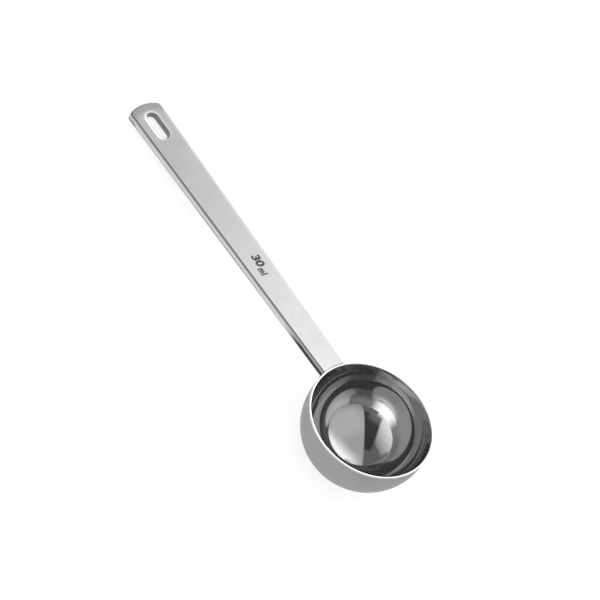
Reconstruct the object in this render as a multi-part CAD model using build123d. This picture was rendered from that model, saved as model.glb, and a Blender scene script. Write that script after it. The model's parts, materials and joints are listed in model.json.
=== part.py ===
from build123d import *
import math
import os

# A stainless measuring spoon: a deep drawn bowl, a solid bar handle and the weld between them.
# All lengths are in millimetres. Each piece is drawn with the spoon level: the middle of the
# rim is the origin, the bowl lies below it and the handle runs along -X. The finished pieces
# are then laid down as the spoon rests on a table, on its bowl and on the handle's tip.

# Whole spoon
OVERALL_LENGTH = 162.05
BOWL_WIDTH = 45.2

# Bowl: a short straight band, a round knuckle centred off the axis, and a slightly flatter crown
BOWL_WALL = 0.7
BOWL_BAND = 4.2
KNUCKLE_OFFSET = 1.4
CROWN_RAISE = 1.4
RIM_BEVEL = 0.25

# Handle: a flat bar that narrows towards the bowl and ends in a shallow arch
HANDLE_THICKNESS = 3.0
HANDLE_TIP_WIDTH = 13.6
HANDLE_BOWL_WIDTH = 9.5
HANDLE_EDGE_ROUND = 0.6
HANDLE_DROP = 0.2
TIP_ARCH_RADIUS = 14.0
TIP_CORNER_RADIUS = 1.8

# Slot that the spoon hangs by
SLOT_LENGTH = 10.9
SLOT_WIDTH = 4.3
SLOT_TO_TIP = 4.4
SLOT_LIP_ROUND = 0.4

# Weld: it fills the seam between bowl and handle and a bevel along the bar's lower end edge,
# and stands out as a bead under the handle
SEAM_GAP = 0.2
SEAM_RECESS = 0.35
WELD_BEAD = 0.8

# Reach of every cutting shape past what it cuts
OVERRUN = 2.0

# Most of a wall's thickness that the bevel of one of its edges may take
EDGE_BEVEL_SHARE = 0.45

# Places that follow from the sizes above
BOWL_RADIUS = BOWL_WIDTH / 2
CAVITY_RADIUS = BOWL_RADIUS - BOWL_WALL
CROWN_CENTRE = CROWN_RAISE - BOWL_BAND
TIP_X = BOWL_RADIUS - OVERALL_LENGTH
HANDLE_TOP = -HANDLE_DROP
HANDLE_UNDERSIDE = HANDLE_TOP - HANDLE_THICKNESS
SLOT_CENTRE_X = TIP_X + SLOT_TO_TIP + SLOT_LENGTH / 2


def upright(sketch):
    """Stand a sketch drawn as (radius, height) up in the XZ plane."""
    return Plane.XZ * sketch


def crown_radius(radius):
    """Radius of the crown that meets the knuckle smoothly under a band of a given radius."""
    return radius - KNUCKLE_OFFSET + math.hypot(KNUCKLE_OFFSET, CROWN_RAISE)


def filled_bowl(radius):
    """The bowl's form as a solid body: the band, with knuckle and crown tangent under it."""
    turn = math.degrees(math.atan2(CROWN_RAISE, KNUCKLE_OFFSET))
    side = Line((radius, 0), (radius, -BOWL_BAND))
    knuckle = CenterArc((KNUCKLE_OFFSET, -BOWL_BAND), radius - KNUCKLE_OFFSET, 0, -turn)
    crown = CenterArc((0, CROWN_CENTRE), crown_radius(radius), -turn, turn - 90)
    axis = Line(crown @ 1, (0, 0))
    mouth = Line((0, 0), (radius, 0))
    half_section = make_face([side, knuckle, crown, axis, mouth])
    return revolve(upright(half_section), Axis.Z)


def make_bowl():
    """Thin drawn shell whose rim has both edges broken by a fine bevel."""
    shell = filled_bowl(BOWL_RADIUS) - filled_bowl(CAVITY_RADIUS)
    rim_edges = shell.edges().group_by(Axis.Z)[-1]
    return chamfer(rim_edges, min(RIM_BEVEL, EDGE_BEVEL_SHARE * BOWL_WALL))


def handle_half_width(x):
    """Half the handle's width at a place along the spoon, on its straight tapered sides."""
    along = (x - TIP_X) / (-BOWL_RADIUS - TIP_X)
    width = HANDLE_TIP_WIDTH + along * (HANDLE_BOWL_WIDTH - HANDLE_TIP_WIDTH)
    return width / 2


def handle_plan():
    """Plan of the bar, from the rim's middle out to the arched tip and its rounded corners."""
    half_tip = HANDLE_TIP_WIDTH / 2
    arch_rise = TIP_ARCH_RADIUS - math.sqrt(TIP_ARCH_RADIUS**2 - half_tip**2)
    corner_x = TIP_X + arch_rise
    half_inner = handle_half_width(0)
    side = Line((0, half_inner), (corner_x, half_tip))
    arch = ThreePointArc((corner_x, half_tip), (TIP_X, 0), (corner_x, -half_tip))
    far_side = Line((corner_x, -half_tip), (0, -half_inner))
    inner_end = Line((0, -half_inner), (0, half_inner))
    plan = make_face([side, arch, far_side, inner_end])
    return fillet(plan.vertices().group_by(Axis.X)[0], TIP_CORNER_RADIUS)


def raised(plan, low, high):
    """A plan drawn at height zero, raised into a solid between two heights."""
    return Pos(0, 0, low) * extrude(plan, high - low)


def cut_through(plan):
    """A cutter that goes right through the handle's thickness."""
    return raised(plan, HANDLE_UNDERSIDE - OVERRUN, HANDLE_TOP + OVERRUN)


def broad_faces(bar):
    """The bar's flat top and underside."""
    return bar.faces().filter_by(Axis.Z)


def weld_bevel():
    """Cutter for the bevel along the lower edge of the bar's coped end."""
    low = HANDLE_UNDERSIDE - OVERRUN
    height = WELD_BEAD + OVERRUN
    return Pos(0, 0, low + height / 2) * Cone(BOWL_RADIUS + height, BOWL_RADIUS, height)


def make_handle():
    """Solid bar with a soft-lipped hanging slot, its inner end shaped to meet the bowl."""
    bar = raised(handle_plan(), HANDLE_UNDERSIDE, HANDLE_TOP)
    bar -= cut_through(Pos(SLOT_CENTRE_X, 0) * SlotOverall(SLOT_LENGTH, SLOT_WIDTH))
    lips = [edge for face in broad_faces(bar) for wire in face.inner_wires() for edge in wire.edges()]
    bar = fillet(lips, SLOT_LIP_ROUND)
    outline = [edge for face in broad_faces(bar) for edge in face.outer_wire().edges()]
    bar = fillet(outline, HANDLE_EDGE_ROUND)
    return bar - cut_through(Circle(BOWL_RADIUS + SEAM_GAP)) - weld_bevel()


def make_weld(handle):
    """Weld metal in the seam and in the bar's bevel, with a round-ended bead under the handle."""
    seam_top = HANDLE_TOP - SEAM_RECESS
    seam_height = seam_top - HANDLE_UNDERSIDE
    seam = Pos(BOWL_RADIUS, HANDLE_UNDERSIDE + seam_height / 2) * Rectangle(2 * SEAM_GAP, seam_height)
    bead = Pos(BOWL_RADIUS, HANDLE_UNDERSIDE) * Circle(WELD_BEAD)
    flat_half_width = handle_half_width(-BOWL_RADIUS) - HANDLE_EDGE_ROUND
    half_turn = math.degrees(math.asin(flat_half_width / BOWL_RADIUS))
    run = revolve(upright(seam + bead), Axis.Z, 2 * half_turn)
    bead_end = Pos(BOWL_RADIUS, 0, HANDLE_UNDERSIDE) * Sphere(WELD_BEAD)
    blank = run + bead_end + Rot(0, 0, 2 * half_turn) * bead_end
    turned = Rot(0, 0, 180 - half_turn) * blank
    return turned - filled_bowl(BOWL_RADIUS) - handle


def resting_tilt():
    """Angle in radians by which the tip drops until bowl and tip both touch the table."""
    reach = -TIP_X - HANDLE_EDGE_ROUND
    rise = HANDLE_UNDERSIDE + HANDLE_EDGE_ROUND - CROWN_CENTRE
    drop = crown_radius(BOWL_RADIUS) - HANDLE_EDGE_ROUND
    return math.asin(drop / math.hypot(reach, rise)) + math.atan2(rise, reach)


def lay_down(piece):
    """Tilt a level piece to rest on z = 0, and centre the whole spoon's length on the origin."""
    tilt = resting_tilt()
    knuckle_x = KNUCKLE_OFFSET * math.cos(tilt) + BOWL_BAND * math.sin(tilt)
    far_x = knuckle_x + BOWL_RADIUS - KNUCKLE_OFFSET
    edge_x = TIP_X + HANDLE_EDGE_ROUND
    edge_z = HANDLE_TOP - HANDLE_EDGE_ROUND
    near_x = edge_x * math.cos(tilt) - edge_z * math.sin(tilt) - HANDLE_EDGE_ROUND
    height = crown_radius(BOWL_RADIUS) - CROWN_CENTRE * math.cos(tilt)
    middle = (far_x + near_x) / 2
    return Pos(-middle, 0, height) * Rot(0, -math.degrees(tilt), 0) * piece


def main():
    """Make the spoon's pieces and write one file for each."""
    handle = make_handle()
    pieces = {"bowl": make_bowl(), "handle": handle, "weld": make_weld(handle)}
    os.makedirs("parts", exist_ok=True)
    for name, piece in pieces.items():
        export_step(lay_down(piece), os.path.join("parts", name + ".step"))


main()
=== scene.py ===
"""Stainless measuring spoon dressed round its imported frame: bowl, handle, weld, capacity mark.

Each piece is modelled level, with the middle of the rim at the origin, the bowl below it and the
handle along -X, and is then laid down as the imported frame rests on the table. All sizes are in
metres, and angles that are written as numbers are in degrees.
"""

import json
import logging
import math
from dataclasses import dataclass
from enum import Enum
from typing import Callable, Optional, Sequence

import bmesh
import bpy
from mathutils import Matrix, Vector


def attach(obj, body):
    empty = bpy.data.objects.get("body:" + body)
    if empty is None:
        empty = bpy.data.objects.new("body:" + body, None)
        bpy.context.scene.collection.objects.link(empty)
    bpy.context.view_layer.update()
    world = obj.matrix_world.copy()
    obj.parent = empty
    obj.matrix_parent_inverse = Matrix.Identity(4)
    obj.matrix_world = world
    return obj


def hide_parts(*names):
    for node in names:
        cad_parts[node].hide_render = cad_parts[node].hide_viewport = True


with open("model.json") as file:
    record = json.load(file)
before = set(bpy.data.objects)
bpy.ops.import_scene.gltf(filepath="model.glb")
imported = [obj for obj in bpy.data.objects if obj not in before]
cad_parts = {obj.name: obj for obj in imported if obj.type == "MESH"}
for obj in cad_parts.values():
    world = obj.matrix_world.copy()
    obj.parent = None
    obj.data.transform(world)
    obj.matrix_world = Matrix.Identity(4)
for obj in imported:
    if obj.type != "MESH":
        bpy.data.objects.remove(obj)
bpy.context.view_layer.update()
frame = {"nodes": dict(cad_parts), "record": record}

LOG = logging.getLogger("measuring_spoon")
MM = 0.001

# What the steps hand on
Piece = bpy.types.Object
Socket = bpy.types.NodeSocket
Outputs = bpy.types.NodeOutputs

# Edges that turn by more than this can be rounded
SHARP_EDGE = math.radians(45)
# Points of an outline nearer than this are one
SAME_POINT = MM / 1000

# Colours painted over a finish: dark for painted shade, pale for a painted sheen
PAINTED_SHADE = (0.045, 0.042, 0.04, 1.0)
PAINTED_SHEEN = (0.92, 0.92, 0.92, 1.0)


def in_radians(*angles: float) -> list[float]:
    """Angles in degrees as radians."""
    return [math.radians(angle) for angle in angles]


class Region(Enum):
    """Parts of the bowl's sheet that are finished differently, by material slot; the rim is painted
    near white as a highlight and the outside darkened by painted shade.
    """

    INSIDE = 0
    RIM = 1
    OUTSIDE = 2


class BarRegion(Enum):
    """Parts of the handle's bar that are finished differently, by material slot; the rounded edges
    and the slot's walls are also darkened by painted shade.
    """

    BROAD_FACE = 0
    ROUNDED_EDGE = 1
    SIDE = 2
    SLOT_WALL = 3


class Lay(Enum):
    """Which way the fine grain of a polished surface runs."""

    ALONG_HANDLE = "along"
    ROUND_BOWL = "round"
    NO_GRAIN = "none"


@dataclass(frozen=True)
class RestingPlace:
    """How the level spoon lies on the table: where its rim's middle is, and how far it leans."""

    rim_centre: Vector
    lean: float

    @classmethod
    def from_record(cls, record: dict) -> "RestingPlace":
        """Read the rim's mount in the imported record.

        Args:
            record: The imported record.

        Returns:
            The place that the rim's face gives.
        """
        rim = next(m for m in record["mounts"] if m["name"] == "rim_face")
        x, _, z = rim["pos_m"]
        up = rim["axis"]
        return cls(Vector((x, 0, z)), math.atan2(-up[0], up[2]))

    def matrix(self) -> Matrix:
        """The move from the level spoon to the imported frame."""
        return Matrix.Translation(self.rim_centre) @ Matrix.Rotation(-self.lean, 4, "Y")

    def turned(self, direction: Vector) -> Vector:
        """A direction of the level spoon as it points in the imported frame."""
        return Matrix.Rotation(-self.lean, 3, "Y") @ direction


class Bench:
    """Modelling steps that the pieces share, each made with Blender's own operators."""

    @staticmethod
    def clear() -> None:
        """Deselect everything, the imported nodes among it."""
        bpy.ops.object.select_all(action="DESELECT")

    @staticmethod
    def take(piece: Piece) -> None:
        """Make a piece the only selected and the active one.

        Args:
            piece: The piece to take.
        """
        Bench.clear()
        piece.select_set(True)
        bpy.context.view_layer.objects.active = piece

    @staticmethod
    def fix(piece: Piece) -> None:
        """Fix a piece's place, turn and scale into its mesh."""
        Bench.take(piece)
        bpy.ops.object.transform_apply(location=True, rotation=True, scale=True)

    @staticmethod
    def started(name: str) -> Piece:
        """Name the primitive that was just added, and fix its place into its mesh.

        Args:
            name: The piece's name.

        Returns:
            The piece.
        """
        piece = bpy.context.active_object
        piece.name = name
        piece.data.name = name
        Bench.fix(piece)
        return piece

    @staticmethod
    def open(piece: Piece) -> None:
        """Enter edit mode on a piece, ready to pick its vertices.

        Args:
            piece: The piece to work on.
        """
        Bench.take(piece)
        bpy.ops.object.mode_set(mode="EDIT")
        bpy.ops.mesh.select_mode(type="VERT")

    @staticmethod
    def close() -> None:
        """Leave edit mode."""
        bpy.ops.object.mode_set(mode="OBJECT")

    @staticmethod
    def round_edges(piece: Piece, radius: float, steps: int,
                    wanted: Callable[[Vector, Vector], bool]) -> None:
        """Round a piece's sharp edges whose two ends are wanted.

        Args:
            piece: The piece.
            radius: The rounding's radius.
            steps: Flat steps across the rounding.
            wanted: Says of two end places whether the edge between them is wanted.
        """
        Bench.open(piece)
        bpy.ops.mesh.select_mode(type="EDGE")
        mesh = bmesh.from_edit_mesh(piece.data)
        for part in (*mesh.verts, *mesh.edges, *mesh.faces):
            part.select_set(False)
        for edge in mesh.edges:
            if edge.calc_face_angle(0.0) > SHARP_EDGE and wanted(*(v.co for v in edge.verts)):
                edge.select_set(True)
        bmesh.update_edit_mesh(piece.data)
        bpy.ops.mesh.bevel(offset=radius, segments=steps, affect="EDGES")
        Bench.close()

    @staticmethod
    def modify(piece: Piece, kind: str, **settings: object) -> None:
        """Add a modifier with its settings and apply it.

        Args:
            piece: The piece to change.
            kind: The modifier's type, as Blender names it.
            **settings: The modifier's own settings.
        """
        Bench.take(piece)
        bpy.ops.object.modifier_add(type=kind)
        modifier = piece.modifiers[-1]
        for setting, value in settings.items():
            setattr(modifier, setting, value)
        bpy.ops.object.modifier_apply(modifier=modifier.name)

    @staticmethod
    def cut(piece: Piece, cutter: Piece) -> None:
        """Cut one solid out of another, and throw the cutter away."""
        Bench.modify(piece, "BOOLEAN", operation="DIFFERENCE", solver="EXACT", object=cutter)
        bpy.data.objects.remove(cutter)

    @staticmethod
    def tidy_faces(piece: Piece, merge: float) -> None:
        """Merge doubled vertices and turn every face outwards.

        Args:
            piece: The piece to tidy.
            merge: Vertices nearer than this become one.
        """
        Bench.open(piece)
        bpy.ops.mesh.select_all(action="SELECT")
        bpy.ops.mesh.remove_doubles(threshold=merge)
        bpy.ops.mesh.normals_make_consistent(inside=False)
        Bench.close()

    @staticmethod
    def lay_down(piece: Piece, place: RestingPlace) -> None:
        """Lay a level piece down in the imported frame, its place fixed into its mesh."""
        piece.matrix_world = place.matrix()
        Bench.fix(piece)


class Outline:
    """A flat outline drawn by moving and spinning one vertex, then made a solid or a shell."""

    def __init__(self, name: str, start: Vector, facing: str = "Z") -> None:
        """Put the first vertex down.

        Args:
            name: Name of the piece.
            start: Where the outline starts.
            facing: The axis that the outline's plane faces, and that its arcs turn about.
        """
        bpy.ops.mesh.primitive_plane_add(size=MM, location=start)
        self.piece = Bench.started(name)
        self.at = start.copy()
        self.facing = facing
        Bench.open(self.piece)
        bpy.ops.mesh.select_all(action="SELECT")
        bpy.ops.mesh.merge(type="CENTER")

    def line(self, end: Vector) -> None:
        """Draw a straight run to a place."""
        bpy.ops.mesh.extrude_region_move(TRANSFORM_OT_translate={"value": end - self.at})
        self.at = end.copy()

    def arc(self, centre: Vector, angle: float, steps: int) -> None:
        """Draw an arc.

        Args:
            centre: The arc's centre.
            angle: Its turn in radians, anticlockwise seen against the axis that the plane faces.
            steps: Straight steps that make it up.
        """
        axis = Matrix.Identity(3)["XYZ".index(self.facing)]
        bpy.ops.mesh.spin(steps=steps, angle=-angle, center=centre, axis=axis)
        self.at = centre + Matrix.Rotation(angle, 3, self.facing) @ (self.at - centre)

    def turned_round(self, steps: int, merge: float) -> Piece:
        """Turn the outline once round the level spoon's upright axis, and return the shell.

        Args:
            steps: Steps of the turn.
            merge: Vertices nearer than this become one.

        Returns:
            The shell, facing outwards.
        """
        bpy.ops.mesh.select_all(action="SELECT")
        bpy.ops.mesh.spin(steps=steps, angle=math.tau, center=(0, 0, 0), axis=(0, 0, 1))
        Bench.close()
        Bench.tidy_faces(self.piece, merge)
        return self.piece

    def raised(self, height: float) -> Piece:
        """Close and fill the outline, raise it into a solid and return that.

        Args:
            height: How far the solid reaches along +Z.

        Returns:
            The solid.
        """
        bpy.ops.mesh.select_all(action="SELECT")
        bpy.ops.mesh.remove_doubles(threshold=SAME_POINT)
        bpy.ops.mesh.edge_face_add()
        bpy.ops.mesh.extrude_region_move(TRANSFORM_OT_translate={"value": (0, 0, height)})
        bpy.ops.mesh.select_all(action="SELECT")
        bpy.ops.mesh.normals_make_consistent(inside=False)
        Bench.close()
        return self.piece


@dataclass(frozen=True)
class Blend:
    """A change from start to end while a value goes from low to high, held outside them."""

    low: float
    high: float
    start: float = 0.0
    end: float = 1.0
    smooth: bool = True


class NodeSheet:
    """Adds nodes to one tree and joins them, so that a finish reads as a list of steps."""

    def __init__(self, tree: bpy.types.NodeTree) -> None:
        """Clear a tree and start on it."""
        self.tree = tree
        tree.nodes.clear()

    @classmethod
    def of(cls, block: bpy.types.ID) -> "NodeSheet":
        """Start on the nodes of a material or a world."""
        block.use_nodes = True
        return cls(block.node_tree)

    def add(self, kind: str, wires: Optional[dict] = None, **settings: object) -> bpy.types.Node:
        """Add a node.

        Args:
            kind: The node's type, as Blender names it.
            wires: Value or source socket for each input, by its name or number.
            **settings: The node's own settings.

        Returns:
            The new node.
        """
        node = self.tree.nodes.new(kind)
        for setting, value in settings.items():
            setattr(node, setting, value)
        for name, value in (wires or {}).items():
            if isinstance(value, Socket):
                self.tree.links.new(value, node.inputs[name])
            else:
                node.inputs[name].default_value = value
        return node

    def maths(self, operation: str, *values: object) -> Socket:
        """Add a Math node for values or sockets, and return its result."""
        return self.add("ShaderNodeMath", dict(enumerate(values)), operation=operation).outputs[0]

    def product(self, *values: object) -> Socket:
        """Multiply two values or sockets, and add the third if there is one."""
        return self.maths("MULTIPLY_ADD" if len(values) > 2 else "MULTIPLY", *values)

    def vector(self, operation: str, *values: object, out: str = "Vector") -> Socket:
        """Add a Vector Math node and return the output that is asked for.

        Args:
            operation: The sum to do.
            *values: Its vectors or source sockets, in order.
            out: Name of the wanted output.

        Returns:
            The result's socket.
        """
        node = self.add("ShaderNodeVectorMath", dict(enumerate(values)), operation=operation)
        return node.outputs[out]

    def parts(self, vector: Socket) -> Outputs:
        """Take a vector apart into X, Y and Z."""
        return self.add("ShaderNodeSeparateXYZ", {"Vector": vector}).outputs

    def length(self, across: Socket, up: Socket) -> Socket:
        """Length of a flat vector, from its two parts."""
        flat = self.add("ShaderNodeCombineXYZ", {"X": across, "Y": up}).outputs[0]
        return self.vector("LENGTH", flat, out="Value")

    def ramp(self, value: Socket, low: object, high: object, start: object = 0.0,
             end: object = 1.0, smooth: bool = False) -> Socket:
        """Map a value from one range to another, held at its ends.

        Args:
            value: The source socket.
            low: Where the source range starts.
            high: Where it ends.
            start: Result at the start.
            end: Result at the end.
            smooth: Whether the ends are eased.

        Returns:
            The result's socket.
        """
        wires = {"Value": value, "From Min": low, "From Max": high, "To Min": start, "To Max": end}
        easing = "SMOOTHSTEP" if smooth else "LINEAR"
        node = self.add("ShaderNodeMapRange", wires, clamp=True, interpolation_type=easing)
        return node.outputs["Result"]

    def blend(self, value: Socket, over: Blend) -> Socket:
        """Map a value as a blend says, and return the result."""
        return self.ramp(value, over.low, over.high, over.start, over.end, over.smooth)

    def noise(self, at: Socket, scale: float, detail: float) -> Socket:
        """Read a Noise Texture of a scale and a number of finer layers, and return its value."""
        wires = {"Vector": at, "Scale": scale, "Detail": detail}
        return self.add("ShaderNodeTexNoise", wires).outputs["Fac"]

    def mix(self, share: Socket, first: object, second: object) -> Socket:
        """Mix two colours by the share of the second, and return the result."""
        wires = {"Factor": share, "A": first, "B": second}
        return self.add("ShaderNodeMix", wires, data_type="RGBA").outputs["Result"]

    def metal(self, colour: Socket, roughness: Socket, height: Socket, metallic: float) -> None:
        """Close a material with its relief, its shader and its output.

        Args:
            colour: The surface's colour.
            roughness: Its roughness.
            height: Its relief.
            metallic: How metallic it is.
        """
        bump = self.add("ShaderNodeBump", {"Height": height, "Strength": 1.0, "Distance": 1.0})
        shader = self.add("ShaderNodeBsdfPrincipled", {
            "Base Color": colour, "Roughness": roughness, "Normal": bump.outputs["Normal"],
            "Metallic": metallic})
        self.add("ShaderNodeOutputMaterial", {"Surface": shader.outputs["BSDF"]})


class Effects:
    """The effects that finishes and lights share, each a node group built at its first use.

    An effect adds its nodes to the group's sheet behind the group's inputs and returns its
    results by name. Its places are those of the level spoon.
    """

    built: dict[str, bpy.types.NodeTree] = {}

    # Grain, and the patches that handling leaves: the finer noise's share, and what shows
    FINE_GRAIN = 0.6
    FINE_PATCHES = 0.35
    PATCHES = Blend(0.50, 0.90)
    # Scratches: the noise's middle, how near it they lie, and where they are broken off
    NOISE_MIDDLE = 0.5
    IN_SCRATCH = Blend(0.0, 0.012, 1.0, 0.0, False)
    SCRATCHED = Blend(0.56, 0.66, smooth=False)
    # Painted shade on the bar, low beside the bowl, low near the tip and as a line along the lower
    # side: how uneven its borders are, and where each part shows
    UNEVEN_ALONG = 6.0 * MM
    UNEVEN_DOWN = 0.4 * MM
    BOWL_SHADE_ALONG = Blend(-42.5 * MM, -31.5 * MM)
    BOWL_SHADE_BELOW = Blend(-1.3 * MM, -0.5 * MM, 1.0, 0.0)
    TIP_SHADE_ALONG = Blend(-130.5 * MM, -128.5 * MM, 0.62, 0.0)
    TIP_SHADE_BELOW = Blend(-2.2 * MM, -0.9 * MM, 1.0, 0.0)
    LINE_DEPTH = 2.2 * MM
    LINE_EDGE = Blend(0.1 * MM, 0.5 * MM, 1.0, 0.0)
    LINE_RISES = Blend(-115.0 * MM, -82.0 * MM, 0.12, 0.42, False)
    LINE_ENDS = Blend(-66.0 * MM, -56.0 * MM, 1.0, 0.2, False)
    # Share of a rolled lip's width that painted shade darkens fully
    FULLY_SHADED = 0.3

    @classmethod
    def place(cls, sheet: NodeSheet, draw: Callable[[NodeSheet, Outputs], dict],
              **wires: object) -> Outputs:
        """Place an effect's group in a tree.

        Args:
            sheet: Where it goes.
            draw: The effect, which also names its group.
            **wires: Value or source socket for each of the group's inputs.

        Returns:
            The placed group's outputs.
        """
        name = draw.__name__
        if name not in cls.built:
            tree = bpy.data.node_groups.new(name, "ShaderNodeTree")
            for socket, value in wires.items():
                number = isinstance(value, float) or getattr(value, "type", "") == "VALUE"
                kind = "NodeSocketFloat" if number else "NodeSocketVector"
                tree.interface.new_socket(name=socket, in_out="INPUT", socket_type=kind)
            inner = NodeSheet(tree)
            results = draw(inner, inner.add("NodeGroupInput").outputs)
            for socket in results:
                tree.interface.new_socket(name=socket, in_out="OUTPUT",
                                          socket_type="NodeSocketFloat")
            inner.add("NodeGroupOutput", results)
            cls.built[name] = tree
        return sheet.add("ShaderNodeGroup", wires, node_tree=cls.built[name]).outputs

    @staticmethod
    def brushed_grain(sheet: NodeSheet, take: Outputs) -> dict:
        """Fine parallel grain: tight across its run and drawn out along it.

        Args:
            sheet: The group's sheet.
            take: The group's inputs.

        Returns:
            The grain's height.
        """
        stretched = sheet.vector("MULTIPLY", take["Vector"], take["Stretch"])
        coarse = sheet.noise(stretched, scale=1.0, detail=4.0)
        fine = sheet.noise(stretched, scale=1.0, detail=2.0)
        both = sheet.product(fine, Effects.FINE_GRAIN, coarse)
        return {"Height": sheet.product(both, 1.0 / (1.0 + Effects.FINE_GRAIN))}

    @staticmethod
    def wiped_marks(sheet: NodeSheet, take: Outputs) -> dict:
        """Soft patches that handling and wiping leave.

        Args:
            sheet: The group's sheet.
            take: The group's inputs.

        Returns:
            A mask from 0, clean, to 1, dulled.
        """
        broad = sheet.noise(take["Vector"], scale=70.0, detail=3.0)
        finer = sheet.noise(take["Vector"], scale=420.0, detail=2.0)
        mixed = sheet.product(finer, Effects.FINE_PATCHES, broad)
        return {"Mask": sheet.blend(mixed, Effects.PATCHES)}

    @staticmethod
    def hair_scratches(sheet: NodeSheet, take: Outputs) -> dict:
        """Sparse hairline scratches: the thin crests of a stretched noise, broken by another.

        Args:
            sheet: The group's sheet.
            take: The group's inputs.

        Returns:
            A mask from 0, none, to 1, in a scratch.
        """
        stretched = sheet.vector("MULTIPLY", take["Vector"], take["Stretch"])
        lines = sheet.noise(stretched, scale=1.0, detail=1.0)
        off_crest = sheet.maths("ABSOLUTE", sheet.maths("SUBTRACT", lines, Effects.NOISE_MIDDLE))
        thin = sheet.blend(off_crest, Effects.IN_SCRATCH)
        broad = sheet.noise(take["Vector"], scale=260.0, detail=2.0)
        return {"Mask": sheet.product(thin, sheet.blend(broad, Effects.SCRATCHED))}

    @staticmethod
    def painted_shade_marks(sheet: NodeSheet, take: Outputs) -> dict:
        """Painted shade low on the bar beside the bowl and near the tip, and a painted dark line
        along the lower side.

        Args:
            sheet: The group's sheet.
            take: The group's inputs.

        Returns:
            A mask from 0, unshaded, to 1, full painted shade.
        """
        parts = sheet.parts(take["Vector"])
        uneven = sheet.noise(take["Vector"], scale=350.0, detail=3.0)
        along = sheet.product(uneven, Effects.UNEVEN_ALONG, parts["X"])
        low = sheet.product(uneven, Effects.UNEVEN_DOWN, parts["Z"])
        # Painted shade low on the bar where it meets the bowl, in the mask oxide
        oxide = sheet.product(sheet.blend(along, Effects.BOWL_SHADE_ALONG),
                              sheet.blend(low, Effects.BOWL_SHADE_BELOW))
        # Painted shade low on the bar near the tip
        tip_shade = sheet.product(sheet.blend(along, Effects.TIP_SHADE_ALONG),
                              sheet.blend(low, Effects.TIP_SHADE_BELOW))
        # A painted dark line along the lower side, standing in for the shade of the lower rounding
        off_line = sheet.maths("ABSOLUTE", sheet.maths("ADD", low, Effects.LINE_DEPTH))
        shown = sheet.product(sheet.blend(along, Effects.LINE_RISES),
                              sheet.blend(along, Effects.LINE_ENDS))
        line = sheet.product(sheet.blend(off_line, Effects.LINE_EDGE), shown)
        tip_and_line_shade = sheet.maths("MAXIMUM", tip_shade, line)
        return {"Mask": sheet.maths("MAXIMUM", oxide, tip_and_line_shade)}

    @staticmethod
    def rolled_lip(sheet: NodeSheet, take: Outputs) -> dict:
        """A broad face that dips towards a round-ended outline, and is darkened beside it by
        painted shade.

        Args:
            sheet: The group's sheet.
            take: The group's inputs.

        Returns:
            The face's height, and a mask of the strip of painted shade.
        """
        parts = sheet.parts(take["Vector"])
        along = sheet.maths("SUBTRACT", parts["X"], take["Middle"])
        beyond = sheet.maths("SUBTRACT", sheet.maths("ABSOLUTE", along), take["Reach"])
        beyond = sheet.maths("MAXIMUM", beyond, 0.0)
        aside = sheet.maths("SUBTRACT", parts["Y"], take["Aside"])
        radius = sheet.product(parts["X"], take["Taper"], take["Radius"])
        away = sheet.maths("SUBTRACT", sheet.length(beyond, aside), radius)
        away = sheet.product(away, take["Side"])
        ahead = sheet.maths("GREATER_THAN", sheet.product(along, take["Side"]), take["From"])
        left = sheet.ramp(away, 0.0, take["Width"], 1.0, 0.0)
        near = sheet.product(sheet.product(left, left), ahead)
        dip = sheet.product(near, take["Depth"])
        full = sheet.product(take["Width"], Effects.FULLY_SHADED)
        shaded = sheet.ramp(away, full, take["Width"], 1.0, 0.0, smooth=True)
        return {"Height": sheet.product(dip, -1.0), "Mask": sheet.product(shaded, ahead)}


@dataclass(frozen=True)
class RolledLip:
    """Where polishing rolled a broad face over its edge, how far, and how much painted shade
    darkens it beside the edge.

    The edge is a round-ended slot, or a circle where the reach is zero. The face lies outside it
    where the side is 1 and inside it where the side is -1. The roll starts where the way past
    the middle is more than begins, which is everywhere unless begins is given. The taper is what
    the radius gains for each metre along the handle, and aside is how far along Y the outline's
    middle lies.
    """

    middle: float
    radius: float
    side: float
    width: float
    reach: float = 0.0
    begins: float = -1.0
    depth: float = 0.0
    # Share of painted shade beside the edge
    dulled: float = 0.0
    taper: float = 0.0
    aside: float = 0.0

    def wires(self) -> dict:
        """The values that the rolled lip's group takes."""
        return {"Middle": self.middle, "Reach": self.reach, "Radius": self.radius,
                "Side": self.side, "From": self.begins, "Width": self.width, "Depth": self.depth,
                "Taper": self.taper, "Aside": self.aside}


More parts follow.
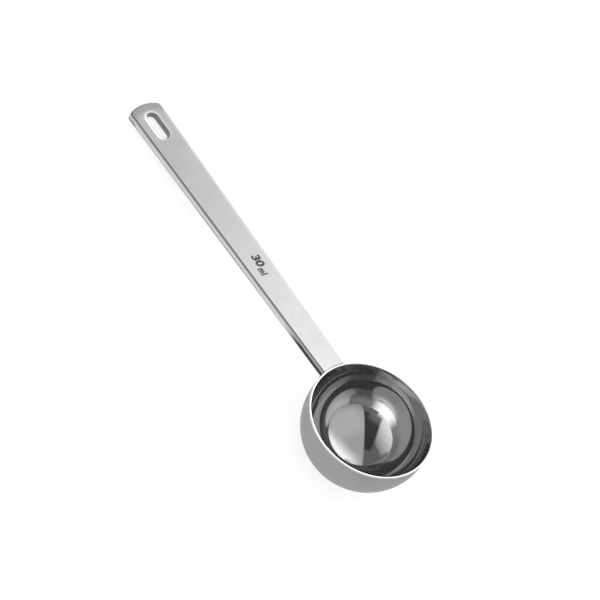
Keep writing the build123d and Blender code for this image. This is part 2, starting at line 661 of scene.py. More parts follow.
@dataclass(frozen=True)
class SteelFinish:
    """One way that a steel surface of the spoon is finished.

    The roughness is the clean surface's, and dulled is the roughness of the marks on it. Below
    the height pale_below the surface is painted pale as a painted sheen, unless that height is
    zero.
    """

    name: str
    colour: tuple[float, float, float]
    lay: Lay
    roughness: float
    dulled: float
    grain_depth: float
    scratch_depth: float = 0.0
    waviness: float = 0.0
    metallic: float = 1.0
    # Share of painted shade low on the bar beside the bowl, near the tip and along the lower side
    shade_share: float = 0.0
    lips: tuple[RolledLip, ...] = ()
    pale_below: float = 0.0

    # Scales of grain and scratches across and along their run, and of waves, per metre
    GRAIN = (9000.0, 260.0)
    SCRATCHES = (1500.0, 90.0)
    WAVES = 60.0
    # What a scratch adds to the roughness, what a mark leaves of the colour, how soft the
    # border of the painted sheen is
    SCRATCH_ROUGHNESS = 0.12
    MARKED_SHARE = 0.94
    PALE_EDGE = 0.15 * MM

    def stretch(self, across: float, along: float) -> tuple[float, float, float]:
        """How a pattern is scaled so that it runs with the grain.

        Args:
            across: Scale across the grain, per metre.
            along: Scale along it, per metre.

        Returns:
            The scale on each axis of the level spoon.
        """
        if self.lay is Lay.ALONG_HANDLE:
            return (along, across, across)
        if self.lay is Lay.ROUND_BOWL:
            return (along, along, across)
        return (across, across, across)

    def shade(self, sheet: NodeSheet, level: Socket, marks: Socket,
              lips: Sequence[Outputs]) -> Socket:
        """Work out the colour: marked, darkened by painted shade, painted pale low down as a sheen
        and darkened beside the lips by painted shade.

        Args:
            sheet: Where the nodes go.
            level: The place on the level spoon.
            marks: Mask of the wiped marks.
            lips: Outputs of each lip's group.

        Returns:
            The colour's socket.
        """
        marked = (self.MARKED_SHARE * part for part in self.colour)
        colour = sheet.mix(marks, (*self.colour, 1.0), (*marked, 1.0))
        shifts = []
        # Painted shade beside the bowl, near the tip and along the lower side
        if self.shade_share:
            shade_mask = Effects.place(sheet, Effects.painted_shade_marks, Vector=level)["Mask"]
            shifts.append((shade_mask, self.shade_share, PAINTED_SHADE))
        # A painted sheen: pale below a given height
        if self.pale_below:
            low, high = (self.pale_below + side * self.PALE_EDGE for side in (-1, 1))
            pale = sheet.blend(sheet.parts(level)["Z"], Blend(low, high, 1.0, 0.0))
            shifts.append((pale, 1.0, PAINTED_SHEEN))
        # Painted shade beside each lip, by its share
        shifts += [(rolled["Mask"], lip.dulled, PAINTED_SHADE) for rolled, lip in zip(lips, self.lips)]
        for mask, share, towards in shifts:
            colour = sheet.mix(sheet.product(mask, share), colour, towards)
        return colour

    def material(self, place: RestingPlace) -> bpy.types.Material:
        """Build the finish's material.

        Args:
            place: How the spoon lies, which the grain's run follows.

        Returns:
            The material.
        """
        made = bpy.data.materials.new(self.name)
        sheet = NodeSheet.of(made)
        spot = sheet.add("ShaderNodeTexCoord").outputs["Object"]
        local = sheet.vector("SUBTRACT", spot, place.rim_centre)
        level = sheet.add("ShaderNodeMapping", {"Vector": local, "Rotation": (0, place.lean, 0)},
                          vector_type="POINT").outputs["Vector"]
        grain = Effects.place(sheet, Effects.brushed_grain, Vector=level,
                              Stretch=self.stretch(*self.GRAIN))["Height"]
        scratch = Effects.place(sheet, Effects.hair_scratches, Vector=level,
                                Stretch=self.stretch(*self.SCRATCHES))["Mask"]
        marks = Effects.place(sheet, Effects.wiped_marks, Vector=level)["Mask"]
        rough = sheet.ramp(marks, 0.0, 1.0, self.roughness, self.dulled)
        rough = sheet.product(scratch, self.SCRATCH_ROUGHNESS, rough)
        height = sheet.product(grain, self.grain_depth)
        height = sheet.product(scratch, -self.scratch_depth, height)
        if self.waviness:
            waves = sheet.noise(level, scale=self.WAVES, detail=1.0)
            height = sheet.product(waves, self.waviness, height)
        lips = [Effects.place(sheet, Effects.rolled_lip, Vector=level, **lip.wires())
                for lip in self.lips]
        for rolled in lips:
            height = sheet.maths("ADD", height, rolled["Height"])
        sheet.metal(self.shade(sheet, level, marks, lips), rough, height, self.metallic)
        return made


@dataclass(frozen=True)
class EtchedMark:
    """The dark oxide that a laser leaves where it marks steel, with paler and rougher specks."""

    name: str = "etched_oxide"
    colour: tuple[float, float, float] = (0.055, 0.055, 0.058)
    paler: tuple[float, float, float] = (0.10, 0.10, 0.10)
    paler_specks: Blend = Blend(0.35, 0.70, smooth=False)
    rougher_specks: Blend = Blend(0.3, 0.7, 0.55, 0.75, False)
    speck_scale: float = 9000.0
    relief: float = 8e-6
    metallic: float = 0.2

    def material(self) -> bpy.types.Material:
        """Build the mark's material.

        Returns:
            The material.
        """
        made = bpy.data.materials.new(self.name)
        sheet = NodeSheet.of(made)
        spot = sheet.add("ShaderNodeTexCoord").outputs["Object"]
        specks = sheet.noise(spot, self.speck_scale, detail=3.0)
        tint = sheet.mix(sheet.blend(specks, self.paler_specks),
                         (*self.colour, 1.0), (*self.paler, 1.0))
        sheet.metal(tint, sheet.blend(specks, self.rougher_specks),
                    sheet.product(specks, self.relief), self.metallic)
        return made


@dataclass
class SteelPiece:
    """A piece of the spoon whose regions are finished differently, each by a material slot."""

    finishes: dict[Enum, SteelFinish]

    def region(self, face: bpy.types.MeshPolygon) -> Enum:
        """Which region of the level piece a face belongs to."""
        raise NotImplementedError

    def dress(self, piece: Piece, smooth_angle: float, place: RestingPlace) -> None:
        """Give each region its finish, and shade the faces that meet gently as one.

        Args:
            piece: The level piece.
            smooth_angle: The most that such faces turn.
            place: How the spoon lies.
        """
        piece.data.materials.clear()
        for region in sorted(self.finishes, key=lambda option: option.value):
            piece.data.materials.append(self.finishes[region].material(place))
        for face in piece.data.polygons:
            face.material_index = self.region(face).value
        Bench.take(piece)
        bpy.ops.object.shade_smooth_by_angle(angle=math.radians(smooth_angle))


@dataclass
class Bowl(SteelPiece):
    """Drawn bowl: a crown and a rounder knuckle under a short straight band, its rim painted near
    white as a highlight.
    """

    outer_radius: float = 22.6 * MM
    wall: float = 0.7 * MM
    band: float = 4.2 * MM
    knuckle_offset: float = 1.4 * MM
    crown_raise: float = 1.4 * MM
    rim_round: float = 0.3 * MM
    round_steps: int = 4
    segments: int = 192
    arc_steps: int = 30
    band_steps: int = 3
    smooth_angle: float = 50.0

    @property
    def close(self) -> float:
        """Distance within which two places of the sheet are one."""
        return self.wall / 100

    def shell(self) -> Piece:
        """Model the sheet: crown, knuckle and band as one turned outline, then given its wall.

        Returns:
            The bowl, level.
        """
        knuckle_turn = math.atan2(self.crown_raise, self.knuckle_offset)
        crown_radius = (self.outer_radius - self.knuckle_offset
                        + math.hypot(self.knuckle_offset, self.crown_raise))
        crown = Vector((0, 0, self.crown_raise - self.band))
        knuckle = Vector((self.knuckle_offset, 0, -self.band))
        outline = Outline("drawn_bowl", crown - Vector((0, 0, crown_radius)), "Y")
        outline.arc(crown, knuckle_turn - math.pi / 2, self.arc_steps)
        outline.arc(knuckle, -knuckle_turn, self.arc_steps)
        for step in range(1, self.band_steps + 1):
            left = self.band * (1 - step / self.band_steps)
            outline.line(Vector((self.outer_radius, 0, -left)))
        piece = outline.turned_round(self.segments, self.close)
        Bench.modify(piece, "SOLIDIFY", thickness=self.wall, offset=-1.0, use_even_offset=True)
        return piece

    def along_rim(self, a: Vector, b: Vector) -> bool:
        """Whether an edge runs round the top of the rim and not across it."""
        return min(a.z, b.z) > -self.close and abs(a.xy.length - b.xy.length) < self.close

    def region(self, face: bpy.types.MeshPolygon) -> Region:
        """Which region of the level sheet a face belongs to, by its place and its facing.

        Args:
            face: The face.

        Returns:
            Its region.
        """
        if face.center.z > -self.rim_round - self.close:
            return Region.RIM
        outward = face.normal.dot(face.center + Vector((0, 0, self.band)))
        return Region.OUTSIDE if outward > 0 else Region.INSIDE

    def build(self, place: RestingPlace) -> Piece:
        """Model, finish and place the bowl.

        Args:
            place: How the spoon lies.

        Returns:
            The finished piece.
        """
        piece = self.shell()
        Bench.round_edges(piece, self.rim_round, self.round_steps, self.along_rim)
        self.dress(piece, self.smooth_angle, place)
        Bench.lay_down(piece, place)
        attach(piece, "root")
        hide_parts("bowl")
        return piece


@dataclass
class Handle(SteelPiece):
    """Solid tapered bar with an arched tip and a hanging slot, coped to the bowl's wall."""

    bowl_radius: float
    overall_length: float = 162.05 * MM
    thickness: float = 3.0 * MM
    tip_width: float = 13.6 * MM
    bowl_width: float = 9.5 * MM
    drop: float = 0.2 * MM
    edge_round: float = 0.6 * MM
    arch_radius: float = 14.0 * MM
    corner_radius: float = 1.8 * MM
    slot_length: float = 10.9 * MM
    slot_width: float = 4.3 * MM
    slot_to_tip: float = 4.4 * MM
    lip_round: float = 0.4 * MM
    seam_gap: float = 0.2 * MM
    weld_bead: float = 0.8 * MM
    overrun: float = 2.0 * MM
    merge: float = MM / 2000
    arc_steps: int = 24
    round_steps: int = 6
    cutter_sides: int = 192
    flat_within: float = 5.0
    smooth_angle: float = 35.0

    @property
    def tip_x(self) -> float:
        """Where the tip ends."""
        return self.bowl_radius - self.overall_length

    @property
    def slot_x(self) -> float:
        """Where the slot's middle lies."""
        return self.tip_x + self.slot_to_tip + self.slot_length / 2

    @property
    def top(self) -> float:
        """Height of the top face."""
        return -self.drop

    @property
    def underside(self) -> float:
        """Height of the underside."""
        return self.top - self.thickness

    def half_width(self, x: float) -> float:
        """Half the bar's width at a place along it."""
        along = (x - self.tip_x) / (-self.bowl_radius - self.tip_x)
        return (self.tip_width + along * (self.bowl_width - self.tip_width)) / 2

    def corner(self) -> tuple[Vector, Vector, Vector, Vector]:
        """Work out the rounded corner between the bar's side and the tip's arch.

        Returns:
            The corner's centre, where it leaves the side, where it meets the arch, and the
            arch's centre.
        """
        half_tip = self.tip_width / 2
        arch_centre = Vector((self.tip_x + self.arch_radius, 0, self.underside))
        rise = self.arch_radius - math.sqrt(self.arch_radius**2 - half_tip**2)
        sharp = Vector((self.tip_x + rise, half_tip, self.underside))
        inner = Vector((0, self.half_width(0), self.underside))
        run = (inner - sharp).normalized()
        inward = Vector((run.y, -run.x, 0))
        start = sharp + inward * self.corner_radius - arch_centre
        along = start.dot(run)
        reach = self.arch_radius - self.corner_radius
        travel = -along - math.sqrt(along**2 - start.length_squared + reach**2)
        centre = arch_centre + start + run * travel
        leaves = centre - inward * self.corner_radius
        meets = centre + (centre - arch_centre).normalized() * self.corner_radius
        return centre, leaves, meets, arch_centre

    @staticmethod
    def turn(centre: Vector, a: Vector, b: Vector) -> float:
        """Turn that takes one place to another round a centre.

        Args:
            centre: The centre.
            a: The place to start from.
            b: The place to end at.

        Returns:
            The turn in radians, anticlockwise.
        """
        first = a - centre
        second = b - centre
        return math.atan2(first.x * second.y - first.y * second.x, first.dot(second))

    def blank(self) -> Piece:
        """Draw the bar's plan from the rim's middle round the tip and back, and raise it.

        Returns:
            The bar without its slot and roundings.
        """
        centre, leaves, meets, arch_centre = self.corner()
        mirrored = Vector((1, -1, 1))
        outline = Outline("handle_bar", Vector((0, self.half_width(0), self.underside)))
        outline.line(leaves)
        for middle, first, last in (
                (centre, leaves, meets), (arch_centre, meets, meets * mirrored),
                (centre * mirrored, meets * mirrored, leaves * mirrored)):
            outline.arc(middle, self.turn(middle, first, last), self.arc_steps)
        outline.line(Vector((0, -self.half_width(0), self.underside)))
        return outline.raised(self.thickness)

    def slot_cutter(self) -> Piece:
        """Model the round-ended cutter of the hanging slot.

        Returns:
            The cutter.
        """
        reach = (self.slot_length - self.slot_width) / 2
        low = self.underside - self.overrun
        near = Vector((self.slot_x + reach, 0, low))
        far = Vector((self.slot_x - reach, 0, low))
        side = Vector((0, self.slot_width / 2, 0))
        outline = Outline("slot_cutter", near - side)
        outline.arc(near, math.pi, self.arc_steps)
        outline.line(far + side)
        outline.arc(far, math.pi, self.arc_steps)
        return outline.raised(self.thickness + 2 * self.overrun)

    def by_slot(self, at: Vector) -> bool:
        """Whether a place is within the slot's own outline, or just beside it."""
        near = self.lip_round / 4
        return (abs(at.x - self.slot_x) < self.slot_length / 2 + near
                and abs(at.y) < self.slot_width / 2 + near)

    def on_outline(self, at: Vector) -> bool:
        """Whether a place is on the bar's outline, away from the slot and the inner end."""
        return not self.by_slot(at) and at.x < -MM

    def round_edges(self, piece: Piece, radius: float,
                    wanted: Callable[[Vector], bool]) -> None:
        """Round the edges that run along the bar's top face or underside.

        Args:
            piece: The bar.
            radius: The rounding's radius.
            wanted: Says of an edge's middle whether the edge is wanted.
        """
        close = self.thickness / 1000

        def on_face(a: Vector, b: Vector) -> bool:
            """Whether both ends lie on the same broad face, at a wanted place."""
            level = any(abs(a.z - z) < close and abs(b.z - z) < close
                        for z in (self.top, self.underside))
            return level and wanted((a + b) / 2)

        Bench.round_edges(piece, radius, self.round_steps, on_face)

    def cope(self, piece: Piece) -> None:
        """Shape the inner end to the bowl's wall, and bevel its lower edge for the weld.

        Args:
            piece: The bar.
        """
        low = self.underside - self.overrun
        wall = self.bowl_radius + self.seam_gap
        rise = self.weld_bead + self.overrun
        for name, lower, upper, height in (
                ("wall_cutter", wall, wall, self.thickness + 2 * self.overrun),
                ("bevel_cutter", self.bowl_radius + rise, self.bowl_radius, rise)):
            bpy.ops.mesh.primitive_cone_add(vertices=self.cutter_sides, radius1=lower,
                                            radius2=upper, depth=height,
                                            location=(0, 0, low + height / 2))
            Bench.cut(piece, Bench.started(name))

    def region(self, face: bpy.types.MeshPolygon) -> BarRegion:
        """Which region of the level bar a face belongs to, by its facing and its place.

        Args:
            face: The face.

        Returns:
            Its region.
        """
        upward = abs(face.normal.z)
        by_slot = self.by_slot(face.center)
        flat = math.radians(self.flat_within)
        if upward > math.cos(flat):
            return BarRegion.BROAD_FACE
        if upward > math.sin(flat) and not (by_slot and face.normal.z < 0):
            return BarRegion.ROUNDED_EDGE
        return BarRegion.SLOT_WALL if by_slot else BarRegion.SIDE

    def build(self, place: RestingPlace) -> Piece:
        """Model, finish and place the handle.

        Args:
            place: How the spoon lies.

        Returns:
            The finished piece.
        """
        piece = self.blank()
        Bench.cut(piece, self.slot_cutter())
        self.round_edges(piece, self.lip_round, self.by_slot)
        self.round_edges(piece, self.edge_round, self.on_outline)
        self.cope(piece)
        Bench.tidy_faces(piece, self.merge)
        self.dress(piece, self.smooth_angle, place)
        Bench.modify(piece, "WEIGHTED_NORMAL", mode="FACE_AREA", weight=100, keep_sharp=True)
        Bench.lay_down(piece, place)
        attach(piece, "root")
        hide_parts("handle")
        return piece


@dataclass(frozen=True)
class Figure:
    """One word of the capacity mark, by the box that its letters fill."""

    text: str
    left: float
    baseline: float
    width: float
    height: float
    boldness: float
    spacing: float = 1.0


@dataclass
class CapacityMark:
    """Plain capacity figure on the handle's top face, read from the tip towards the bowl."""

    surface: float
    finish: EtchedMark
    figures: tuple[Figure, ...] = (
        Figure("30", left=-71.2 * MM, baseline=-1.0 * MM, width=5.1 * MM, height=3.4 * MM,
               boldness=0.046),
        Figure("ml", left=-65.9 * MM, baseline=-1.9 * MM, width=3.2 * MM, height=2.9 * MM,
               boldness=0.05, spacing=1.14),
    )
    stands_out: float = 0.012 * MM
    slant: float = 0.12
    text_depth: float = 0.01
    curve_steps: int = 6
    merge: float = MM / 10000

    def word(self, figure: Figure) -> Piece:
        """Model one word as a thin solid that fills its box.

        Args:
            figure: The word and its box.

        Returns:
            The word, level, on the handle's face.
        """
        bpy.ops.object.text_add(location=(0, 0, 0))
        word = bpy.context.active_object
        for setting, value in (("body", figure.text), ("offset", figure.boldness),
                               ("space_character", figure.spacing), ("shear", self.slant),
                               ("extrude", self.text_depth), ("resolution_u", self.curve_steps)):
            setattr(word.data, setting, value)
        Bench.take(word)
        bpy.ops.object.convert(target="MESH")
        word = bpy.context.active_object
        corners = [[pick(v.co[i] for v in word.data.vertices) for i in range(3)]
                   for pick in (min, max)]
        box = (figure.width, figure.height, self.stands_out * 2)
        scale = [side / (high - low) for side, low, high in zip(box, *corners)]
        word.scale = scale
        word.location = (figure.left - corners[0][0] * scale[0],
                         figure.baseline - corners[0][1] * scale[1], self.surface)
        Bench.fix(word)
        return word

    def build(self, place: RestingPlace) -> Piece:
        """Model, finish and place the mark.

        Args:
            place: How the spoon lies.

        Returns:
            The finished piece.
        """
        words = [self.word(figure) for figure in self.figures]
        Bench.take(words[0])
        for word in words[1:]:
            word.select_set(True)
        bpy.ops.object.join()
        mark = bpy.context.active_object
        mark.name = "capacity_mark"
        mark.data.name = "capacity_mark"
        Bench.tidy_faces(mark, self.merge)
        mark.data.materials.clear()
        mark.data.materials.append(self.finish.material())
        Bench.lay_down(mark, place)
        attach(mark, "root")
        return mark


@dataclass(frozen=True)
class Outlook:
    """A shape of the studio by the direction in which the spoon sees it.

    Azimuth turns from the bowl towards +Y, elevation is above the rim's plane, both in degrees of
    the level spoon. Half sizes and edge softness are slopes away from the shape's middle.
    """

    name: str
    azimuth: float
    elevation: float
    half_width: float
    half_height: float
    turn: float
    soft_across: float

    def wires(self, place: RestingPlace, direction: Socket) -> dict:
        """The values that every group for such a shape takes.

        Args:
            place: How the spoon lies.
            direction: The socket of the direction looked in.

        Returns:
            The value or source socket for each input, by its name.
        """
        azimuth, elevation, turn = in_radians(self.azimuth, self.elevation, self.turn)
        facing = Vector((math.cos(elevation) * math.cos(azimuth),
                         math.cos(elevation) * math.sin(azimuth), math.sin(elevation)))
        across = Vector((-math.sin(azimuth), math.cos(azimuth), 0))
        up = facing.cross(across)
        if up.z < 0:
            up.negate()
        turned_across = across * math.cos(turn) + up * math.sin(turn)
        turned_up = up * math.cos(turn) - across * math.sin(turn)
        return {"Direction": direction, "Facing": place.turned(facing),
                "Across": place.turned(turned_across), "Up": place.turned(turned_up),
                "Half Width": self.half_width, "Half Height": self.half_height,
                "Soft Across": self.soft_across}


@dataclass(frozen=True)
class SoftPanel(Outlook):
    """One soft light or dark card: its brightness and how that fades from bottom to top."""

    soft_up: float
    level: float
    fade: float = 0.0


@dataclass
class Studio:
    """Plain pale floor, white backdrop and the light tent that polished steel mirrors.

    The spoon sees a lit side through the tent's oval mouth, and the tent's own wall round it.
    """

    # Name, azimuth, elevation, half width, half height, turn and softness across of each shape,
    # and then a panel's softness upwards, level and fade
    mouth: Outlook = Outlook("tent_mouth", 56.5, 52.8, 3.22, 1.29, -11.5, 0.20)
    lit_side: float = 0.605
    wall: float = 0.174
    lit_panels: tuple[SoftPanel, ...] = (
        SoftPanel("back_wall", 90.9, 14.8, 0.643, 0.571, 1.9, 0.487, 0.077, 3.30, 0.063),
        SoftPanel("far_glow", 93.1, 53.7, 0.518, 0.118, 6.6, 0.328, 0.397, 2.30, -0.031),
        SoftPanel("right_wall", -10.1, 17.9, 0.565, 0.451, -14.8, 0.234, 0.299, 0.357, 0.747),
        SoftPanel("right_glow", 2.0, 57.0, 0.55, 0.38, 0.0, 0.25, 0.22, 0.75, 0.0),
        SoftPanel("tip_card", 123.3, 47.5, 0.074, 0.09, 0.0, 0.045, 0.05, 0.87, 0.0),
    )
    wall_panels: tuple[SoftPanel, ...] = (
        SoftPanel("left_box", 244.7, 28.6, 0.805, 0.576, 9.9, 0.041, 0.041, 1.22, -0.728),
        SoftPanel("left_glow", 166.7, 26.6, 0.639, 0.341, -3.4, 0.121, 0.08, 0.416, -0.604),
        SoftPanel("dark_flag", 289.9, 64.6, 0.445, 0.64, 18.0, 0.06, 0.06, 0.038, -0.217),
        SoftPanel("flag_seam", 287.0, 35.0, 0.20, 0.16, 0.0, 0.08, 0.10, 0.20, -0.4),
        SoftPanel("camera_gap", 313.9, 66.0, 0.161, 0.124, -0.5, 0.03, 0.03, 0.0, 0.0),
        SoftPanel("rear_light", 318.0, 8.0, 0.55, 0.24, 0.0, 0.12, 0.07, 0.72, 0.3),
    )
    open_light: float = 1.0
    floor_size: float = 6.0
    floor_albedo: float = 0.38
    floor_lift: float = 0.74

    # Least that a direction has to point towards a shape for it to be seen
    LEAST_AHEAD = 0.05

    @staticmethod
    def slopes(sheet: NodeSheet, take: Outputs) -> tuple[Socket, ...]:
        """Measure a direction against a shape's axes.

        Args:
            sheet: Where the nodes go.
            take: The group's inputs.

        Returns:
            Whether the direction is ahead, and its slopes across and up.
        """
        ahead, across, up = (sheet.vector("DOT_PRODUCT", take["Direction"], take[axis], out="Value")
                             for axis in ("Facing", "Across", "Up"))
        seen = sheet.maths("GREATER_THAN", ahead, Studio.LEAST_AHEAD)
        divisor = sheet.maths("MAXIMUM", ahead, Studio.LEAST_AHEAD)
        return seen, sheet.maths("DIVIDE", across, divisor), sheet.maths("DIVIDE", up, divisor)

    @staticmethod
    def soft_edge(sheet: NodeSheet, inside: Socket, soft: Socket) -> Socket:
        """Ease a mask in over an edge's softness, from the way inside that edge."""
        return sheet.ramp(inside, sheet.product(soft, -1.0), soft, smooth=True)

    @staticmethod
    def soft_panel(sheet: NodeSheet, take: Outputs) -> dict:
        """One soft-edged panel painted over the light so far.

        Args:
            sheet: The group's sheet.
            take: The group's inputs.

        Returns:
            The light with the panel in it.
        """
        mask, *slopes = Studio.slopes(sheet, take)
        for slope, half, soft in zip(slopes, ("Half Width", "Half Height"),
                                     ("Soft Across", "Soft Up")):
            inside = sheet.maths("SUBTRACT", take[half], sheet.maths("ABSOLUTE", slope))
            mask = sheet.product(mask, Studio.soft_edge(sheet, inside, take[soft]))
        share = sheet.ramp(sheet.maths("DIVIDE", slopes[1], take["Half Height"]), -1, 1, -1, 1)
        level = sheet.product(sheet.product(share, take["Fade"], 1.0), take["Level"])
        step = sheet.maths("SUBTRACT", level, take["So Far"])
        return {"Light": sheet.product(step, mask, take["So Far"])}

    @staticmethod
    def tent_mouth(sheet: NodeSheet, take: Outputs) -> dict:
        """The tent's oval mouth.

        Args:
            sheet: The group's sheet.
            take: The group's inputs.

        Returns:
            A mask from 0, the tent's wall, to 1, through the mouth.
        """
        seen, across, up = Studio.slopes(sheet, take)
        oval = sheet.length(sheet.maths("DIVIDE", across, take["Half Width"]),
                            sheet.maths("DIVIDE", up, take["Half Height"]))
        inside = sheet.product(sheet.maths("SUBTRACT", 1.0, oval), take["Half Width"])
        return {"Mask": sheet.product(Studio.soft_edge(sheet, inside, take["Soft Across"]), seen)}

    @staticmethod
    def painted(sheet: NodeSheet, direction: Socket, place: RestingPlace, light: object,
                panels: Sequence[SoftPanel]) -> Socket:
        """Paint panels one over the other.

        Args:
            sheet: Where the nodes go.
            direction: The socket of the direction looked in.
            place: How the spoon lies.
            light: Level round the panels.
            panels: The panels, in order.

        Returns:
            The light's socket.
        """
        for panel in panels:
            wires = panel.wires(place, direction)
            wires.update({"Soft Up": panel.soft_up, "Level": panel.level, "Fade": panel.fade,
                          "So Far": light})
            light = Effects.place(sheet, Studio.soft_panel, **wires)["Light"]
        return light

    def hang_panels(self, place: RestingPlace) -> None:
        """Build the world: white where the camera looks, the tent where steel mirrors.

        Args:
            place: How the spoon lies.
        """
        world = bpy.data.worlds.new("studio")
        bpy.context.scene.world = world
        sheet = NodeSheet.of(world)
        direction = sheet.add("ShaderNodeTexCoord").outputs["Generated"]
        lit = self.painted(sheet, direction, place, self.lit_side, self.lit_panels)
        wall = self.painted(sheet, direction, place, self.wall, self.wall_panels)
        through = Effects.place(sheet, Studio.tent_mouth, **self.mouth.wires(place, direction))
        light = sheet.product(sheet.maths("SUBTRACT", lit, wall), through["Mask"], wall)
        path = sheet.add("ShaderNodeLightPath").outputs
        mirrored = sheet.maths("MAXIMUM", path["Is Glossy Ray"], path["Is Transmission Ray"])
        change = sheet.maths("SUBTRACT", light, self.open_light)
        strength = sheet.product(change, mirrored, self.open_light)
        glow = sheet.add("ShaderNodeBackground", {"Color": (1, 1, 1, 1), "Strength": strength})
        sheet.add("ShaderNodeOutputWorld", {"Surface": glow.outputs["Background"]})

    def lay_floor(self) -> None:
        """Lay the pale floor, open to the view from below."""
        bpy.ops.mesh.primitive_plane_add(size=self.floor_size, location=(0, 0, 0))
        floor = Bench.started("floor")
        material = bpy.data.materials.new("pale_floor")
        sheet = NodeSheet.of(material)
        paint = sheet.add("ShaderNodeBsdfDiffuse", {"Color": (*(self.floor_albedo,) * 3, 1.0)})
        path = sheet.add("ShaderNodeLightPath").outputs
        seen = sheet.maths("MAXIMUM", path["Is Camera Ray"], path["Is Glossy Ray"])
        seen = sheet.maths("MAXIMUM", seen, path["Is Transmission Ray"])
        lift = sheet.add("ShaderNodeEmission", {"Strength": sheet.product(seen, self.floor_lift)})
        pale = sheet.add("ShaderNodeAddShader", {0: paint.outputs[0], 1: lift.outputs[0]})
        clear = sheet.add("ShaderNodeBsdfTransparent")
        below = sheet.add("ShaderNodeNewGeometry").outputs["Backfacing"]
        both = sheet.add("ShaderNodeMixShader", {0: below, 1: pale.outputs[0], 2: clear.outputs[0]})
        sheet.add("ShaderNodeOutputMaterial", {"Surface": both.outputs[0]})
        floor.data.materials.append(material)

    def build(self, place: RestingPlace) -> None:
        """Set up the floor, the world and the plain view settings.

        Args:
            place: How the spoon lies.
        """
        self.lay_floor()
        self.hang_panels(place)
        bpy.context.scene.view_settings.view_transform = "Standard"


@dataclass(frozen=True)
class PhotoCamera:
    """The photograph's viewpoint, in the level spoon's own axes."""

    azimuth: float = 24.895
    elevation: float = 48.938
    roll: float = 34.674
    distance: float = 935.5 * MM
    slide_right: float = -24.07 * MM
    slide_up: float = 39.99 * MM
    focal_pixels: float = 2797.0
    frame_pixels: float = 600.0
    sensor_mm: float = 36.0
    nearest: float = 0.01
    farthest: float = 20.0

    def build(self, place: RestingPlace) -> None:
        """Set up the camera.

        Args:
            place: How the spoon lies.
        """
        azimuth, elevation, roll = in_radians(self.azimuth, self.elevation, self.roll)
        back = Vector((math.sin(azimuth) * math.cos(elevation),
                       -math.cos(azimuth) * math.cos(elevation), math.sin(elevation)))
        level = Vector((math.cos(azimuth), math.sin(azimuth), 0))
        upright = back.cross(level)
        right = level * math.cos(roll) + upright * math.sin(roll)
        up = upright * math.cos(roll) - level * math.sin(roll)
        eye = back * self.distance + right * self.slide_right + up * self.slide_up
        turn = Matrix((right, up, back)).transposed().to_4x4()
        data = bpy.data.cameras.new("photo_camera")
        data.sensor_width = self.sensor_mm
        data.lens = self.sensor_mm * self.focal_pixels / self.frame_pixels
        data.clip_start = self.nearest
        data.clip_end = self.farthest
        camera = bpy.data.objects.new("photo_camera", data)
        bpy.context.scene.collection.objects.link(camera)
        camera.matrix_world = place.matrix() @ Matrix.Translation(eye) @ turn
        bpy.context.scene.camera = camera


SLOT_LIP = RolledLip(middle=-129.6 * MM, reach=3.3 * MM, radius=2.15 * MM, side=1.0,
                     width=1.5 * MM, depth=0.11 * MM)
# Painted shade: the broad face darkened along the inside of the tip's arch
TIP_ARCH_SHADE = RolledLip(middle=-125.45 * MM, radius=14.0 * MM, side=-1.0, begins=0.0,
                     width=5.0 * MM, dulled=0.28)
FAR_SIDE = RolledLip(middle=-81.0 * MM, reach=200.0 * MM, radius=24.3535 * MM, side=-1.0,
                     width=1.5 * MM, depth=0.045 * MM, taper=-0.01754, aside=-20.0 * MM)

MIRROR = SteelFinish("bowl_mirror", (0.57, 0.575, 0.58), Lay.ROUND_BOWL, roughness=0.025,
                     dulled=0.06, grain_depth=2e-7, scratch_depth=3e-7, waviness=1e-6,
                     metallic=0.95)
# Rim: colour painted near white, a painted highlight along the rim
RIM = SteelFinish("rim_painted_highlight", (0.90, 0.90, 0.90), Lay.ROUND_BOWL, roughness=0.22,
                  dulled=0.30, grain_depth=4e-7, scratch_depth=4e-7)
# Outside: satin, with its colour darkened as painted shade
SATIN = SteelFinish("bowl_satin_painted_shade", (0.328, 0.332, 0.338), Lay.ROUND_BOWL, roughness=0.46,
                    dulled=0.52, grain_depth=2e-6, scratch_depth=6e-7)
BRIGHT = SteelFinish("handle_bright", (0.54, 0.543, 0.547), Lay.ALONG_HANDLE, roughness=0.10,
                     dulled=0.16, grain_depth=4e-7, scratch_depth=6e-7, waviness=5e-7,
                     shade_share=0.5, lips=(SLOT_LIP, TIP_ARCH_SHADE, FAR_SIDE))
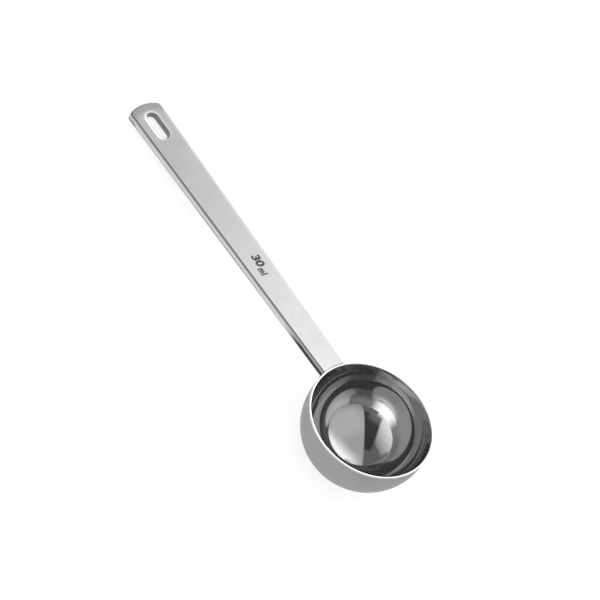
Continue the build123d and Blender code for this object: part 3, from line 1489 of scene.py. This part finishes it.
# Rounded edges: colour darkened well below the broad face's as painted shade
EDGES = SteelFinish("handle_edges_painted_shade", (0.27, 0.27, 0.273), Lay.ALONG_HANDLE, roughness=0.20,
                    dulled=0.28, grain_depth=4e-7, scratch_depth=4e-7, shade_share=1.0)
SIDES = SteelFinish("handle_sides", (0.62, 0.623, 0.626), Lay.ALONG_HANDLE, roughness=0.24,
                    dulled=0.32, grain_depth=6e-7, scratch_depth=6e-7, shade_share=1.0)
# Slot walls: colour darkened as painted shade, and painted pale low down as a sheen
SLOT_WALLS = SteelFinish("slot_walls_painted_shade_and_sheen", (0.20, 0.20, 0.20), Lay.NO_GRAIN, roughness=0.34,
                         dulled=0.42, grain_depth=2e-6, pale_below=-2.25 * MM)
WELD = SteelFinish("weld_metal", (0.45, 0.44, 0.43), Lay.NO_GRAIN, roughness=0.38,
                   dulled=0.5, grain_depth=1e-5)


def dress_weld(place: RestingPlace) -> Piece:
    """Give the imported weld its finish.

    Args:
        place: How the spoon lies.

    Returns:
        The weld's node.
    """
    weld = frame["nodes"]["weld"]
    weld.data.materials.clear()
    weld.data.materials.append(WELD.material(place))
    return weld


def main() -> None:
    """Build the spoon, then the studio and the camera, and report each piece."""
    logging.basicConfig(level=logging.INFO, format="%(name)s: %(message)s")
    Bench.clear()
    place = RestingPlace.from_record(frame["record"])
    bowl = Bowl({Region.INSIDE: MIRROR, Region.RIM: RIM, Region.OUTSIDE: SATIN})
    handle = Handle({BarRegion.BROAD_FACE: BRIGHT, BarRegion.ROUNDED_EDGE: EDGES,
                     BarRegion.SIDE: SIDES, BarRegion.SLOT_WALL: SLOT_WALLS}, bowl.outer_radius)
    pieces = [bowl.build(place), handle.build(place), dress_weld(place),
              CapacityMark(handle.top, EtchedMark()).build(place)]
    for piece in pieces:
        LOG.info("%s: %d faces, %s mm", piece.name, len(piece.data.polygons),
                 " x ".join(f"{side / MM:.2f}" for side in piece.dimensions))
    Studio().build(place)
    PhotoCamera().build(place)


if __name__ == "__main__":
    main()
